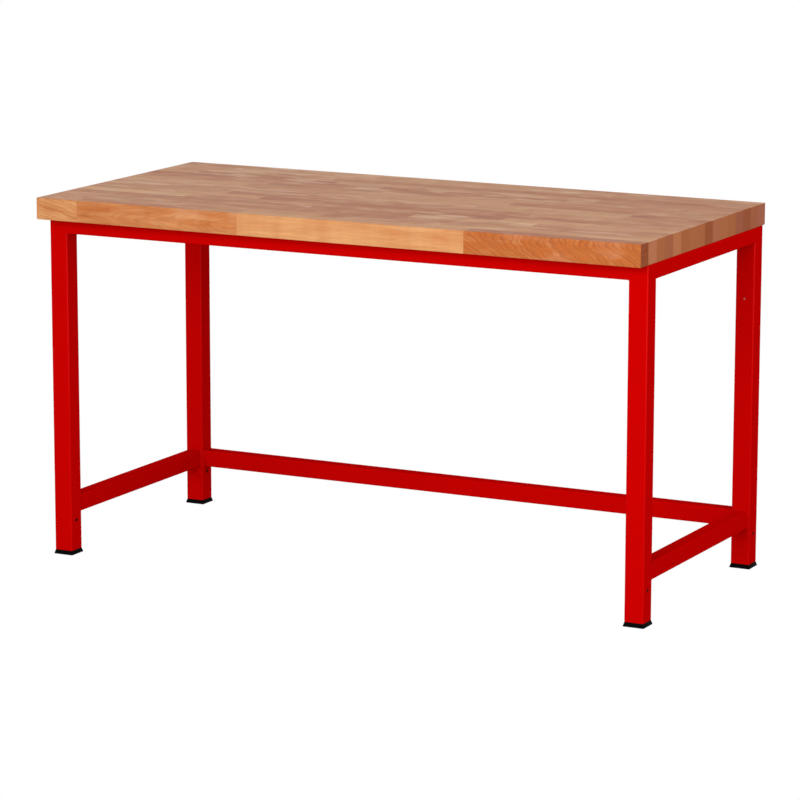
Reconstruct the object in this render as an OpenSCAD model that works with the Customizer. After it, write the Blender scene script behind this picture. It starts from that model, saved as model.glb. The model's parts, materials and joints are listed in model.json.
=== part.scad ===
// Height-adjustable workbench: a glued beech worktop on a welded steel tube frame.
// Each outer leg holds an inner leg that slides down and is clamped by a set screw.
// X runs along the bench, Y from the front to the rear, Z up from the floor.
// The origin is on the floor, under the middle of the worktop, with the legs pushed in.

/* [Worktop] */
// Length of the worktop
top_length = 1500; // [1100:10:2500]
// Depth of the worktop
top_depth = 700; // [500:10:1000]
// Thickness of the worktop
top_thickness = 50; // [42:1:80]
// Chamfer along the worktop's edges
top_chamfer = 1.5; // [0.5:0.5:4]
// Height of the working surface with the legs pushed in
bench_height = 840; // [750:5:1000]

/* [Frame] */
// Worktop reach past the frame at the left end
overhang_left = 10; // [2.5:0.5:60]
// Worktop reach past the frame at the right end
overhang_right = 0; // [0:0.5:60]
// Worktop reach past the frame at the front
overhang_front = 40; // [2.5:0.5:60]
// Worktop reach past the frame at the rear
overhang_rear = 12; // [2.5:0.5:60]
// Wall of every rail
rail_wall = 2; // [1.5:0.5:3]
// Radius on the long edges of every rail
rail_corner = 3; // [2:0.5:5]
// Height of the rails under the worktop
top_rail_height = 35; // [25:1:60]
// Width of the rails under the worktop
top_rail_width = 35; // [25:1:42]
// Height of the lower rails
lower_rail_height = 40; // [25:1:60]
// Width of the lower rails
lower_rail_width = 35; // [25:1:38]
// Height of the lower rails' underside above the floor
lower_rail_lift = 95; // [88:1:300]

/* [Outer legs] */
// Outside width of the outer leg tubes
leg_width = 45; // [42:1:60]
// Wall of the outer leg tubes
leg_wall = 3; // [2:0.5:4]
// Radius on the long edges of the outer leg tubes
leg_corner = 3; // [2:0.5:5]

/* [Inner legs] */
// How far each inner leg draws out
leg_travel = 200; // [100:10:300]
// Length of inner leg left inside the outer leg when drawn out
leg_engagement = 200; // [120:10:260]
// Wall of the inner legs
inner_leg_wall = 2; // [1.5:0.5:3]
// Radius on the long edges of the inner legs
inner_leg_corner = 3; // [2:0.5:5]
// Gap between inner leg and outer leg, on each side
leg_play = 0.5; // [0.2:0.1:1]
// Gap between a glide's head and the outer leg, on each side
glide_play = 0.2; // [0.1:0.1:0.4]
// Height of a glide's head above the inner leg
glide_head = 6; // [3:1:15]
// Depth of a glide's plug in the inner leg
glide_plug = 18; // [10:1:30]

/* [Foot caps] */
// Height of the foot cap's flange, from the floor to the outer leg
foot_height = 10; // [6:1:20]
// Spread of the flange past the outer leg, on each side
foot_flare = 2.5; // [0:0.5:2.5]
// Height of the upright rim at the flange's foot
foot_rim = 2; // [1:0.5:4]
// Gap between the flange and the outer leg with the leg pushed in
foot_gap = 0.3; // [0.1:0.1:0.6]
// Height of the foot cap's plug in the inner leg
foot_plug = 22; // [12:1:40]
// Wall of the plugs on foot caps and glides
plug_wall = 2.5; // [1.5:0.5:4]
// Gap between a plug and the inner leg, on each side
plug_play = 0.3; // [0.1:0.1:0.5]

/* [Clamp screws] */
// Height of the clamp screws above the floor
clamp_height = 80; // [50:1:84]
// Diameter of the clamp screws
clamp_d = 6; // [5:1:8]
// Length of the clamp screws
clamp_length = 4; // [4:0.5:8]
// Gap between a clamp screw's tip and the inner leg
clamp_gap = 0.1; // [0.05:0.05:0.3]
// Width of the clamp screw's hex socket, across its flats
clamp_key = 3; // [2:0.5:3.5]
// Depth of the clamp screw's hex socket
clamp_key_depth = 2; // [1:0.5:2.5]
// Gap between a screw or an insert and its hole, on each side
thread_play = 0.05; // [0.02:0.01:0.1]

/* [Worktop fixing] */
// Thickness of the corner plates and the middle tabs
plate_thickness = 3; // [2:0.5:5]
// Reach of a corner plate along each rail
corner_plate_reach = 90; // [80:1:140]
// Width of a corner plate's blunt ends
corner_plate_end = 26; // [22:1:40]
// Distance of a corner plate's holes from the corner of the rails
corner_hole_reach = 70; // [50:1:74]
// Distance of every fixing hole from its rail
hole_inset = 13; // [10:1:16]
// Length of a middle tab along its rail
tab_length = 60; // [30:1:100]
// Depth of a middle tab from its rail
tab_depth = 30; // [26:1:50]
// Gap around a wood screw in its plate
plate_play = 0.3; // [0.1:0.1:0.6]
// Diameter of the wood screws
wood_screw_d = 6; // [4:0.5:7]
// Length of the wood screws under the head
wood_screw_length = 38; // [25:1:42]
// Diameter of a wood screw's head
wood_screw_head_d = 12; // [10:0.5:14]
// Height of a wood screw's head
wood_screw_head = 3.6; // [2.5:0.1:5]

/* [Threaded insert] */
// Height of the rear right leg's threaded insert above the floor
insert_height = 627; // [600:1:700]
// Core diameter of the insert's thread
insert_bore_d = 4.2; // [3:0.1:5]
// Diameter of the insert's body
insert_body_d = 7; // [6.5:0.1:8]
// Diameter of the insert's flange
insert_flange_d = 9; // [8.5:0.1:12]
// Thickness of the insert's flange
insert_flange = 0.8; // [0.5:0.1:1.5]
// Length of the insert behind the tube's wall
insert_tail = 7; // [5:0.5:12]

/* [Hidden] */
$fn = 48;
LEFT = -1;
RIGHT = 1;
FRONT = -1;
REAR = 1;
sliver = 0.01;
// How far a cutter runs past the face that it cuts
past = 1;

// Colours
beech = [0.80, 0.58, 0.38];
red_paint = [0.78, 0.02, 0.02];
dull_zinc = [0.72, 0.73, 0.74];
bright_zinc = [0.80, 0.80, 0.78];
black_plastic = [0.05, 0.05, 0.05];
black_steel = [0.10, 0.10, 0.10];

// Outer faces of the frame
frame_left = -top_length / 2 + overhang_left;
frame_right = top_length / 2 - overhang_right;
frame_front = -top_depth / 2 + overhang_front;
frame_rear = top_depth / 2 - overhang_rear;

// Levels
frame_top = bench_height - top_thickness;
outer_leg_bottom = foot_height + foot_gap;
lower_rail_middle = lower_rail_lift + lower_rail_height / 2;
top_rail_middle = frame_top - top_rail_height / 2;
plate_level = frame_top - plate_thickness;

// Widths that follow from the tubes
leg_inside = leg_width - 2 * leg_wall;
inner_leg_width = leg_inside - 2 * leg_play;
inner_leg_inside = inner_leg_width - 2 * inner_leg_wall;
inner_leg_length = leg_travel + leg_engagement;
inner_leg_top = foot_height + inner_leg_length;
glide_width = leg_inside - 2 * glide_play;
plug_width = inner_leg_inside - 2 * plug_play;
smallest_corner = 0.5;
plug_corner = max(inner_leg_corner - inner_leg_wall, smallest_corner);

// Wood screws: tapered tip, crowned head, cross recess and the spare depth of their pilot holes
wood_screw_tip = 4;
wood_screw_tip_d = 1.5;
head_crown_share = 0.7;
recess_width = 1.2;
recess_reach = 6;
recess_depth = 2;
pilot_spare = 1;
// Chamfer at both ends of a clamp screw, and the rolled bead behind the insert's wall
clamp_chamfer = 0.5;
insert_bead_spread = 1.1;
insert_bead = 2.5;
// How deep a plug is rooted in its flange or head
plug_root = 1;

// Places on the frame
function edge_x(side) = side == LEFT ? frame_left : frame_right;
function edge_y(row) = row == FRONT ? frame_front : frame_rear;
function leg_x(side) = edge_x(side) - side * leg_width / 2;
function leg_y(row) = edge_y(row) - row * leg_width / 2;

// A point given by its distances inward from the frame's outer corner
function from_corner(side, row, p) = [edge_x(side) - side * p.x, edge_y(row) - row * p.y];

// Fixing holes: two in each corner plate and one in each middle tab
function corner_holes(side, row) = [
    from_corner(side, row, [top_rail_width + corner_hole_reach, top_rail_width + hole_inset]),
    from_corner(side, row, [top_rail_width + hole_inset, top_rail_width + corner_hole_reach])
];
frame_middle_x = (frame_left + frame_right) / 2;
function tab_hole(row) = [frame_middle_x, edge_y(row) - row * (top_rail_width + hole_inset)];
fixing_points = concat(
    [for (side = [LEFT, RIGHT], row = [FRONT, REAR]) each corner_holes(side, row)],
    [for (row = [FRONT, REAR]) tab_hole(row)]
);

// Outlines
module rounded_rect(w, h, r) {
    square([w - 2 * r, h], center = true);
    square([w, h - 2 * r], center = true);
    for (x = [-1, 1], y = [-1, 1])
        translate([x * (w / 2 - r), y * (h / 2 - r)]) circle(r);
}

module chamfered_rect(w, h, c) {
    a = w / 2;
    b = h / 2;
    polygon([
        [-a + c, -b], [a - c, -b], [a, -b + c], [a, b - c],
        [a - c, b], [-a + c, b], [-a, b - c], [-a, -b + c]
    ]);
}

module tube_outline(w, h, wall, corner) {
    difference() {
        rounded_rect(w, h, corner);
        rounded_rect(w - 2 * wall, h - 2 * wall, max(corner - wall, smallest_corner));
    }
}

// Tubes and pins lying along an axis, from a start to an end
module along_x(start, end) {
    translate([start, 0, 0]) rotate([90, 0, 90]) linear_extrude(end - start) children();
}

module along_y(start, end) {
    translate([0, end, 0]) rotate([90, 0, 0]) linear_extrude(end - start) children();
}

module pin_x(start, end, r) {
    translate([start, 0, 0]) rotate([0, 90, 0]) cylinder(h = end - start, r = r);
}

module pin_y(start, end, r) {
    translate([0, end, 0]) rotate([90, 0, 0]) cylinder(h = end - start, r = r);
}

// Worktop with chamfered edges and a blind pilot hole for each wood screw
module worktop() {
    color(beech)
    difference() {
        translate([0, 0, bench_height - top_thickness / 2])
        intersection() {
            translate([0, 0, -top_thickness / 2])
                linear_extrude(top_thickness) chamfered_rect(top_length, top_depth, top_chamfer);
            along_x(-top_length / 2, top_length / 2)
                chamfered_rect(top_depth, top_thickness, top_chamfer);
            along_y(-top_depth / 2, top_depth / 2)
                chamfered_rect(top_length, top_thickness, top_chamfer);
        }
        for (p = fixing_points)
            translate([p.x, p.y, plate_level])
                cylinder(h = wood_screw_length + pilot_spare, r = wood_screw_d / 2 + thread_play);
    }
}

// Outer leg tube, with a threaded hole in its right wall for the clamp screw
module leg_tube(side, row) {
    color(red_paint)
    translate([leg_x(side), leg_y(row), 0])
    difference() {
        translate([0, 0, outer_leg_bottom])
            linear_extrude(frame_top - outer_leg_bottom)
                tube_outline(leg_width, leg_width, leg_wall, leg_corner);
        translate([0, 0, clamp_height])
            pin_x(leg_width / 2 - leg_wall - past, leg_width / 2 + past, clamp_d / 2 + thread_play);
        if (side == RIGHT && row == REAR)
            translate([0, 0, insert_height])
                pin_y(-leg_width / 2 - past, -leg_width / 2 + leg_wall + past,
                      insert_body_d / 2 + thread_play);
    }
}

// Space that the outer legs at one end of a rail take up
module leg_block(side, row) {
    translate([leg_x(side), leg_y(row), frame_top - top_rail_height - past])
        linear_extrude(top_rail_height + 2 * past) rounded_rect(leg_width, leg_width, leg_corner);
}

// Rails under the worktop, flush with the legs and closed on the legs' rounded edges
module top_rail_along_x(row) {
    reach = leg_width - leg_corner;
    color(red_paint)
    difference() {
        translate([0, edge_y(row) - row * top_rail_width / 2, top_rail_middle])
            along_x(frame_left + reach, frame_right - reach)
                tube_outline(top_rail_width, top_rail_height, rail_wall, rail_corner);
        for (side = [LEFT, RIGHT]) leg_block(side, row);
    }
}

module top_rail_along_y(side) {
    reach = leg_width - leg_corner;
    color(red_paint)
    difference() {
        translate([edge_x(side) - side * top_rail_width / 2, 0, top_rail_middle])
            along_y(frame_front + reach, frame_rear - reach)
                tube_outline(top_rail_width, top_rail_height, rail_wall, rail_corner);
        for (row = [FRONT, REAR]) leg_block(side, row);
    }
}

// Lower rails, centred on the legs
module lower_rail_side(side) {
    color(red_paint)
    translate([leg_x(side), 0, lower_rail_middle])
        along_y(frame_front + leg_width, frame_rear - leg_width)
            tube_outline(lower_rail_width, lower_rail_height, rail_wall, rail_corner);
}

module lower_rail_rear() {
    color(red_paint)
    translate([0, leg_y(REAR), lower_rail_middle])
        along_x(frame_left + leg_width, frame_right - leg_width)
            tube_outline(lower_rail_width, lower_rail_height, rail_wall, rail_corner);
}

// Plate in a top corner of the frame, notched round the leg
module corner_plate(side, row) {
    inner = top_rail_width;
    far = inner + corner_plate_reach;
    blunt = inner + corner_plate_end;
    outline = [
        [leg_width, inner], [far, inner], [far, blunt], [blunt, far],
        [inner, far], [inner, leg_width], [leg_width, leg_width]
    ];
    color(red_paint)
    translate([0, 0, plate_level])
    difference() {
        linear_extrude(plate_thickness)
            polygon([for (p = outline) from_corner(side, row, p)]);
        for (p = corner_holes(side, row)) plate_hole(p);
    }
}

// Tab in the middle of a long rail
module middle_tab(row) {
    hole = tab_hole(row);
    middle_y = edge_y(row) - row * (top_rail_width + tab_depth / 2);
    color(red_paint)
    translate([0, 0, plate_level])
    difference() {
        translate([hole.x, middle_y, 0])
            linear_extrude(plate_thickness) square([tab_length, tab_depth], center = true);
        plate_hole(hole);
    }
}

module plate_hole(p) {
    translate([p.x, p.y, -past])
        cylinder(h = plate_thickness + 2 * past, r = wood_screw_d / 2 + plate_play);
}

// Pan-head wood screws, driven up through the plates into the worktop
module worktop_screws() {
    color(bright_zinc)
    for (p = fixing_points)
        translate([p.x, p.y, plate_level]) wood_screw();
}

module wood_screw() {
    r = wood_screw_d / 2;
    head_r = wood_screw_head_d / 2;
    rim = wood_screw_head / 2;
    difference() {
        union() {
            cylinder(h = wood_screw_length - wood_screw_tip, r = r);
            translate([0, 0, wood_screw_length - wood_screw_tip])
                cylinder(h = wood_screw_tip, r1 = r, r2 = wood_screw_tip_d / 2);
            translate([0, 0, -rim]) cylinder(h = rim, r = head_r);
            translate([0, 0, -wood_screw_head])
                cylinder(h = wood_screw_head - rim, r1 = head_r * head_crown_share, r2 = head_r);
        }
        for (turn = [0, 90])
            rotate([0, 0, turn])
            translate([-recess_reach / 2, -recess_width / 2, -wood_screw_head - sliver])
                cube([recess_reach, recess_width, recess_depth]);
    }
}

// Blind rivet nut in the front wall of the rear right leg
module threaded_insert() {
    face = -leg_width / 2;
    back = face + leg_wall;
    color(bright_zinc)
    translate([leg_x(RIGHT), leg_y(REAR), insert_height])
    difference() {
        union() {
            pin_y(face - insert_flange, face, insert_flange_d / 2);
            pin_y(face - insert_flange, back + insert_tail, insert_body_d / 2);
            pin_y(back, back + insert_bead, insert_body_d / 2 + insert_bead_spread);
        }
        pin_y(face - insert_flange - past, back + insert_tail + past, insert_bore_d / 2);
    }
}

// Inner leg tube, standing on the foot cap's flange
module inner_leg(side, row) {
    color(dull_zinc)
    translate([leg_x(side), leg_y(row), foot_height])
        linear_extrude(inner_leg_length)
            tube_outline(inner_leg_width, inner_leg_width, inner_leg_wall, inner_leg_corner);
}

// Hollow square plug that fits in the inner leg, growing up from the level z
module plug(z, height) {
    translate([0, 0, z]) linear_extrude(height)
        tube_outline(plug_width, plug_width, plug_wall, plug_corner);
}

// Plastic foot cap: a flange that spreads towards the floor and a plug in the inner leg
module foot_cap(side, row) {
    foot_width = leg_width + 2 * foot_flare;
    color(black_plastic)
    translate([leg_x(side), leg_y(row), 0]) {
        hull() {
            linear_extrude(foot_rim) rounded_rect(foot_width, foot_width, leg_corner);
            translate([0, 0, foot_height - sliver])
                linear_extrude(sliver) rounded_rect(leg_width, leg_width, leg_corner);
        }
        plug(foot_height - plug_root, foot_plug + plug_root);
    }
}

// Plastic glide that closes the inner leg's upper end and guides it in the outer leg
module leg_glide(side, row) {
    color(black_plastic)
    translate([leg_x(side), leg_y(row), 0]) {
        translate([0, 0, inner_leg_top])
            linear_extrude(glide_head) rounded_rect(glide_width, glide_width, inner_leg_corner);
        plug(inner_leg_top - glide_plug, glide_plug + plug_root);
    }
}

// Set screw with a hex socket in its outer end, pressing on the inner leg
module clamp_screw(side, row) {
    r = clamp_d / 2;
    tip = inner_leg_width / 2 + clamp_gap;
    end = tip + clamp_length;
    color(black_steel)
    translate([leg_x(side), leg_y(row), clamp_height])
    difference() {
        translate([tip, 0, 0]) rotate([0, 90, 0]) {
            cylinder(h = clamp_chamfer, r1 = r - clamp_chamfer, r2 = r);
            translate([0, 0, clamp_chamfer]) cylinder(h = clamp_length - 2 * clamp_chamfer, r = r);
            translate([0, 0, clamp_length - clamp_chamfer])
                cylinder(h = clamp_chamfer, r1 = r, r2 = r - clamp_chamfer);
        }
        translate([end - clamp_key_depth, 0, 0]) rotate([0, 90, 0])
            cylinder(h = clamp_key_depth + past, r = clamp_key / 2 / cos(30), $fn = 6);
    }
}

worktop();
leg_tube(LEFT, FRONT);  // leg_tube_front_left
leg_tube(RIGHT, FRONT);  // leg_tube_front_right
leg_tube(LEFT, REAR);  // leg_tube_rear_left
leg_tube(RIGHT, REAR);  // leg_tube_rear_right
top_rail_along_x(FRONT);  // top_rail_front
top_rail_along_x(REAR);  // top_rail_rear
top_rail_along_y(LEFT);  // top_rail_left
top_rail_along_y(RIGHT);  // top_rail_right
lower_rail_side(LEFT);  // lower_rail_left
lower_rail_side(RIGHT);  // lower_rail_right
lower_rail_rear();
corner_plate(LEFT, FRONT);  // corner_plate_front_left
corner_plate(RIGHT, FRONT);  // corner_plate_front_right
corner_plate(LEFT, REAR);  // corner_plate_rear_left
corner_plate(RIGHT, REAR);  // corner_plate_rear_right
middle_tab(FRONT);  // middle_tab_front
middle_tab(REAR);  // middle_tab_rear
worktop_screws();
threaded_insert();
inner_leg(LEFT, FRONT);  // inner_leg_front_left
inner_leg(RIGHT, FRONT);  // inner_leg_front_right
inner_leg(LEFT, REAR);  // inner_leg_rear_left
inner_leg(RIGHT, REAR);  // inner_leg_rear_right
foot_cap(LEFT, FRONT);  // foot_cap_front_left
foot_cap(RIGHT, FRONT);  // foot_cap_front_right
foot_cap(LEFT, REAR);  // foot_cap_rear_left
foot_cap(RIGHT, REAR);  // foot_cap_rear_right
leg_glide(LEFT, FRONT);  // leg_glide_front_left
leg_glide(RIGHT, FRONT);  // leg_glide_front_right
leg_glide(LEFT, REAR);  // leg_glide_rear_left
leg_glide(RIGHT, REAR);  // leg_glide_rear_right
clamp_screw(LEFT, FRONT);  // clamp_screw_front_left
clamp_screw(RIGHT, FRONT);  // clamp_screw_front_right
clamp_screw(LEFT, REAR);  // clamp_screw_rear_left
clamp_screw(RIGHT, REAR);  // clamp_screw_rear_right
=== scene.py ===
import bmesh
import bpy
import json
import math
import random
from mathutils import Matrix, Vector


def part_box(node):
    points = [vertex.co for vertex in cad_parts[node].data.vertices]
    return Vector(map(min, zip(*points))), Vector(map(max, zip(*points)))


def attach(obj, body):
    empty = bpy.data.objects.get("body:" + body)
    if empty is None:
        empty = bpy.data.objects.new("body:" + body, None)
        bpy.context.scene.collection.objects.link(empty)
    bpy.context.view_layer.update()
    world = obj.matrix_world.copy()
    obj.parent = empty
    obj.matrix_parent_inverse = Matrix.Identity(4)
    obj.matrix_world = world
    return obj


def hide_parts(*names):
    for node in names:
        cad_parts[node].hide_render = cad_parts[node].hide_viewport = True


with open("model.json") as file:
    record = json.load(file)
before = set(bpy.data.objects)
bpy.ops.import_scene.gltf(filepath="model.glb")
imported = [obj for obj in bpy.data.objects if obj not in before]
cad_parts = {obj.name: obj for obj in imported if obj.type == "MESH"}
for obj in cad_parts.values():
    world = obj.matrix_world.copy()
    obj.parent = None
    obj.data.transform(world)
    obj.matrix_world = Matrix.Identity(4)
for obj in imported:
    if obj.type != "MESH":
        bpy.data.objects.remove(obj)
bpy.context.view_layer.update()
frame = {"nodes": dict(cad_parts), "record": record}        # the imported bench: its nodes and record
nodes = frame["nodes"]
corners = ("front_left", "front_right", "rear_left", "rear_right")
legBoxes = {corner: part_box("leg_tube_" + corner) for corner in corners}
print("frame loaded with", len(nodes), "nodes")


# Small tools for node trees

def addNode(tree, kind, **settings):
    node = tree.nodes.new(kind)
    for name, value in settings.items():
        setattr(node, name, value)
    return node


def plug(tree, socket, source):
    # an output is linked to the socket, anything else is its value
    if isinstance(source, bpy.types.NodeSocket):
        tree.links.new(source, socket)
    elif socket.type == "RGBA" and len(source) == 3:
        socket.default_value = (*source, 1.0)
    else:
        socket.default_value = source


def plugAll(tree, node, sources):
    for place, source in sources.items():
        plug(tree, node.inputs[place], source)
    return node


def maths(tree, operation, *sources):
    node = addNode(tree, "ShaderNodeMath", operation=operation)
    return plugAll(tree, node, dict(enumerate(sources))).outputs[0]


def vectorMaths(tree, operation, *sources):
    node = addNode(tree, "ShaderNodeVectorMath", operation=operation)
    plugAll(tree, node, dict(enumerate(sources)))
    return node.outputs["Value" if operation in ("LENGTH", "DOT_PRODUCT") else "Vector"]


def remap(tree, value, low, high, newLow=0.0, newHigh=1.0):
    node = addNode(tree, "ShaderNodeMapRange")
    return plugAll(tree, node, dict(enumerate((value, low, high, newLow, newHigh)))).outputs[0]


def mixColours(tree, share, first, second, kind="MIX"):
    node = addNode(tree, "ShaderNodeMix", data_type="RGBA", blend_type=kind)
    return plugAll(tree, node, {0: share, 6: first, 7: second}).outputs[2]


def noiseField(tree, vector, scale, detail=2.0, roughness=0.5):
    node = addNode(tree, "ShaderNodeTexNoise")
    plugAll(tree, node, {"Vector": vector, "Scale": scale, "Detail": detail, "Roughness": roughness})
    return node.outputs[0]


def spread(tree, noise, low, high):
    # most of a noise lies between 0.3 and 0.7
    return remap(tree, noise, 0.3, 0.7, low, high)


def splitVector(tree, vector):
    node = addNode(tree, "ShaderNodeSeparateXYZ")
    plug(tree, node.inputs[0], vector)
    return node.outputs


def joinVector(tree, x, y, z):
    node = addNode(tree, "ShaderNodeCombineXYZ")
    return plugAll(tree, node, {0: x, 1: y, 2: z}).outputs[0]


def grey(tree, value):
    return joinVector(tree, value, value, value)


def objectPlace(tree):
    return addNode(tree, "ShaderNodeTexCoord").outputs["Object"]


def bumpNormal(tree, height):
    # the height is in metres
    node = addNode(tree, "ShaderNodeBump")
    return plugAll(tree, node, {"Height": height, "Distance": 1.0, "Strength": 1.0}).outputs[0]


def newMaterial(name, **fixed):
    material = bpy.data.materials.new(name)
    material.use_nodes = True
    shader = material.node_tree.nodes["Principled BSDF"]
    for socket, value in fixed.items():
        plug(material.node_tree, shader.inputs[socket.replace("_", " ")], value)
    return material, material.node_tree, shader


def newGroup(name, inputs, outputs, kind="ShaderNodeTree"):
    tree = bpy.data.node_groups.new(name, kind)
    for socketName, (socketKind, value) in inputs.items():
        socket = tree.interface.new_socket(socketName, in_out="INPUT", socket_type=socketKind)
        if value is not None:
            socket.default_value = value
    for socketName, socketKind in outputs.items():
        tree.interface.new_socket(socketName, in_out="OUTPUT", socket_type=socketKind)
    return tree, tree.nodes.new("NodeGroupInput").outputs, tree.nodes.new("NodeGroupOutput").inputs


def placeGroup(tree, group, **values):
    node = addNode(tree, "ShaderNodeGroup", node_tree=group)
    return plugAll(tree, node, values).outputs


# Effects that several materials share

def makeMottle():
    # soft patches: a factor round 1 for colour or roughness, and the bare noise
    tree, given, made = newGroup(
        "softMottle",
        {"Vector": ("NodeSocketVector", None), "Size": ("NodeSocketFloat", 0.01),
         "Contrast": ("NodeSocketFloat", 0.1)},
        {"Factor": "NodeSocketFloat", "Noise": "NodeSocketFloat"})
    noise = noiseField(tree, given["Vector"], maths(tree, "DIVIDE", 1.0, given["Size"]), 3.0)
    reach = maths(tree, "MULTIPLY", given["Contrast"], 2.0)
    swing = maths(tree, "MULTIPLY", maths(tree, "SUBTRACT", noise, 0.5), reach)
    plug(tree, made["Factor"], maths(tree, "ADD", swing, 1.0))
    plug(tree, made["Noise"], noise)
    return tree


def makeStreaks():
    # noise drawn out along the axes, by the wanted grain size in metres
    tree, given, made = newGroup(
        "drawnStreaks",
        {"Vector": ("NodeSocketVector", None), "Grain": ("NodeSocketVector", (0.1, 0.01, 0.01)),
         "Detail": ("NodeSocketFloat", 3.0)},
        {"Streaks": "NodeSocketFloat"})
    stretched = vectorMaths(tree, "DIVIDE", given["Vector"], given["Grain"])
    plug(tree, made["Streaks"], noiseField(tree, stretched, 1.0, given["Detail"], 0.55))
    return tree


softMottle = makeMottle()
drawnStreaks = makeStreaks()


def streaks(tree, vector, grain, detail=3.0):
    return placeGroup(tree, drawnStreaks, Vector=vector, Grain=grain, Detail=detail)["Streaks"]


def mottle(tree, place, value, part):
    size, contrast = value[part + "Size"], value[part + "Contrast"]
    return placeGroup(tree, softMottle, Vector=place, Size=size, Contrast=contrast)


# Beech

beechValues = {
    "pale": (0.675, 0.342, 0.136),
    "russet": (0.445, 0.112, 0.014),
    "endRusset": (0.405, 0.137, 0.026),
    "paleShare": 0.78,                 # how much pale a stave of tone 1 takes; its bands need some room
    "line": (0.74, 0.60, 0.48),        # what a growth line multiplies the wood by
    "boldLine": (0.66, 0.46, 0.34),
    "ringPitch": 0.0035,
    "boldPitch": 0.0085,
    "ringWobble": 0.026,               # metres that the rings stray by: in long waves,
    "ringWiggle": 0.018,               # in short waves where the figure is bold,
    "ringUnevenness": 0.016,           # and outwards, so that their pitch varies
    "unevenScale": 45.0,               # noise cells a metre, outwards from the pith
    "bandScale": 70.0,
    "curl": 0.55,                      # how far grain that rolls sideways swings the tone
    "broadSwing": 1.4,
    "paintedSheen": (0.74, 0.44, 0.26),   # painted sheen and painted shade: the figure's shimmer, put into the colour of the long faces
    "paintedSheenShade": (0.80, 0.72, 0.66),
    "grainDepth": 0.000012,
    "endGrain": (0.79, 0.60, 0.70),    # what the sawn ends multiply the wood by
    "endHeartwood": (0.70, 0.52, 0.88),
    "heartShuffle": 173.0,             # deals the darker heartwood out among the staves
    "flashShuffle": 13.0,              # deals the painted sheen out among them
    "poreScale": 900.0,
    "poreDepth": 0.00005,
    "oiledShine": 0.5,
    "sawnShine": 0.12,
    "oiledRoughness": (0.38, 0.50),
    "sawnRoughness": (0.70, 0.85),
    "treeStep": (17.3, 9.1, 5.7),      # how far apart in the tree the staves are cut
    "jointWidth": 0.0003,
    "jointDepth": 0.00003,
    "glue": (0.16, 0.06, 0.02),
    "glueShare": 0.45,
    # how long and how wide each kind of grain runs, in metres
    "grain": {
        "broad": (0.16, 0.011, 0.011),
        "middle": (0.07, 0.0035, 0.0035),
        "fine": (0.012, 0.0006, 0.0006),
        "dashes": (0.0035, 0.0005, 0.0005),
        "flash": (0.095, 0.034, 0.034),
        "curl": (0.03, 0.14, 0.14),
        "wobble": (0.2, 0.045, 0.045),
        "wiggle": (0.05, 0.028, 0.028),
    },
}


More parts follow.
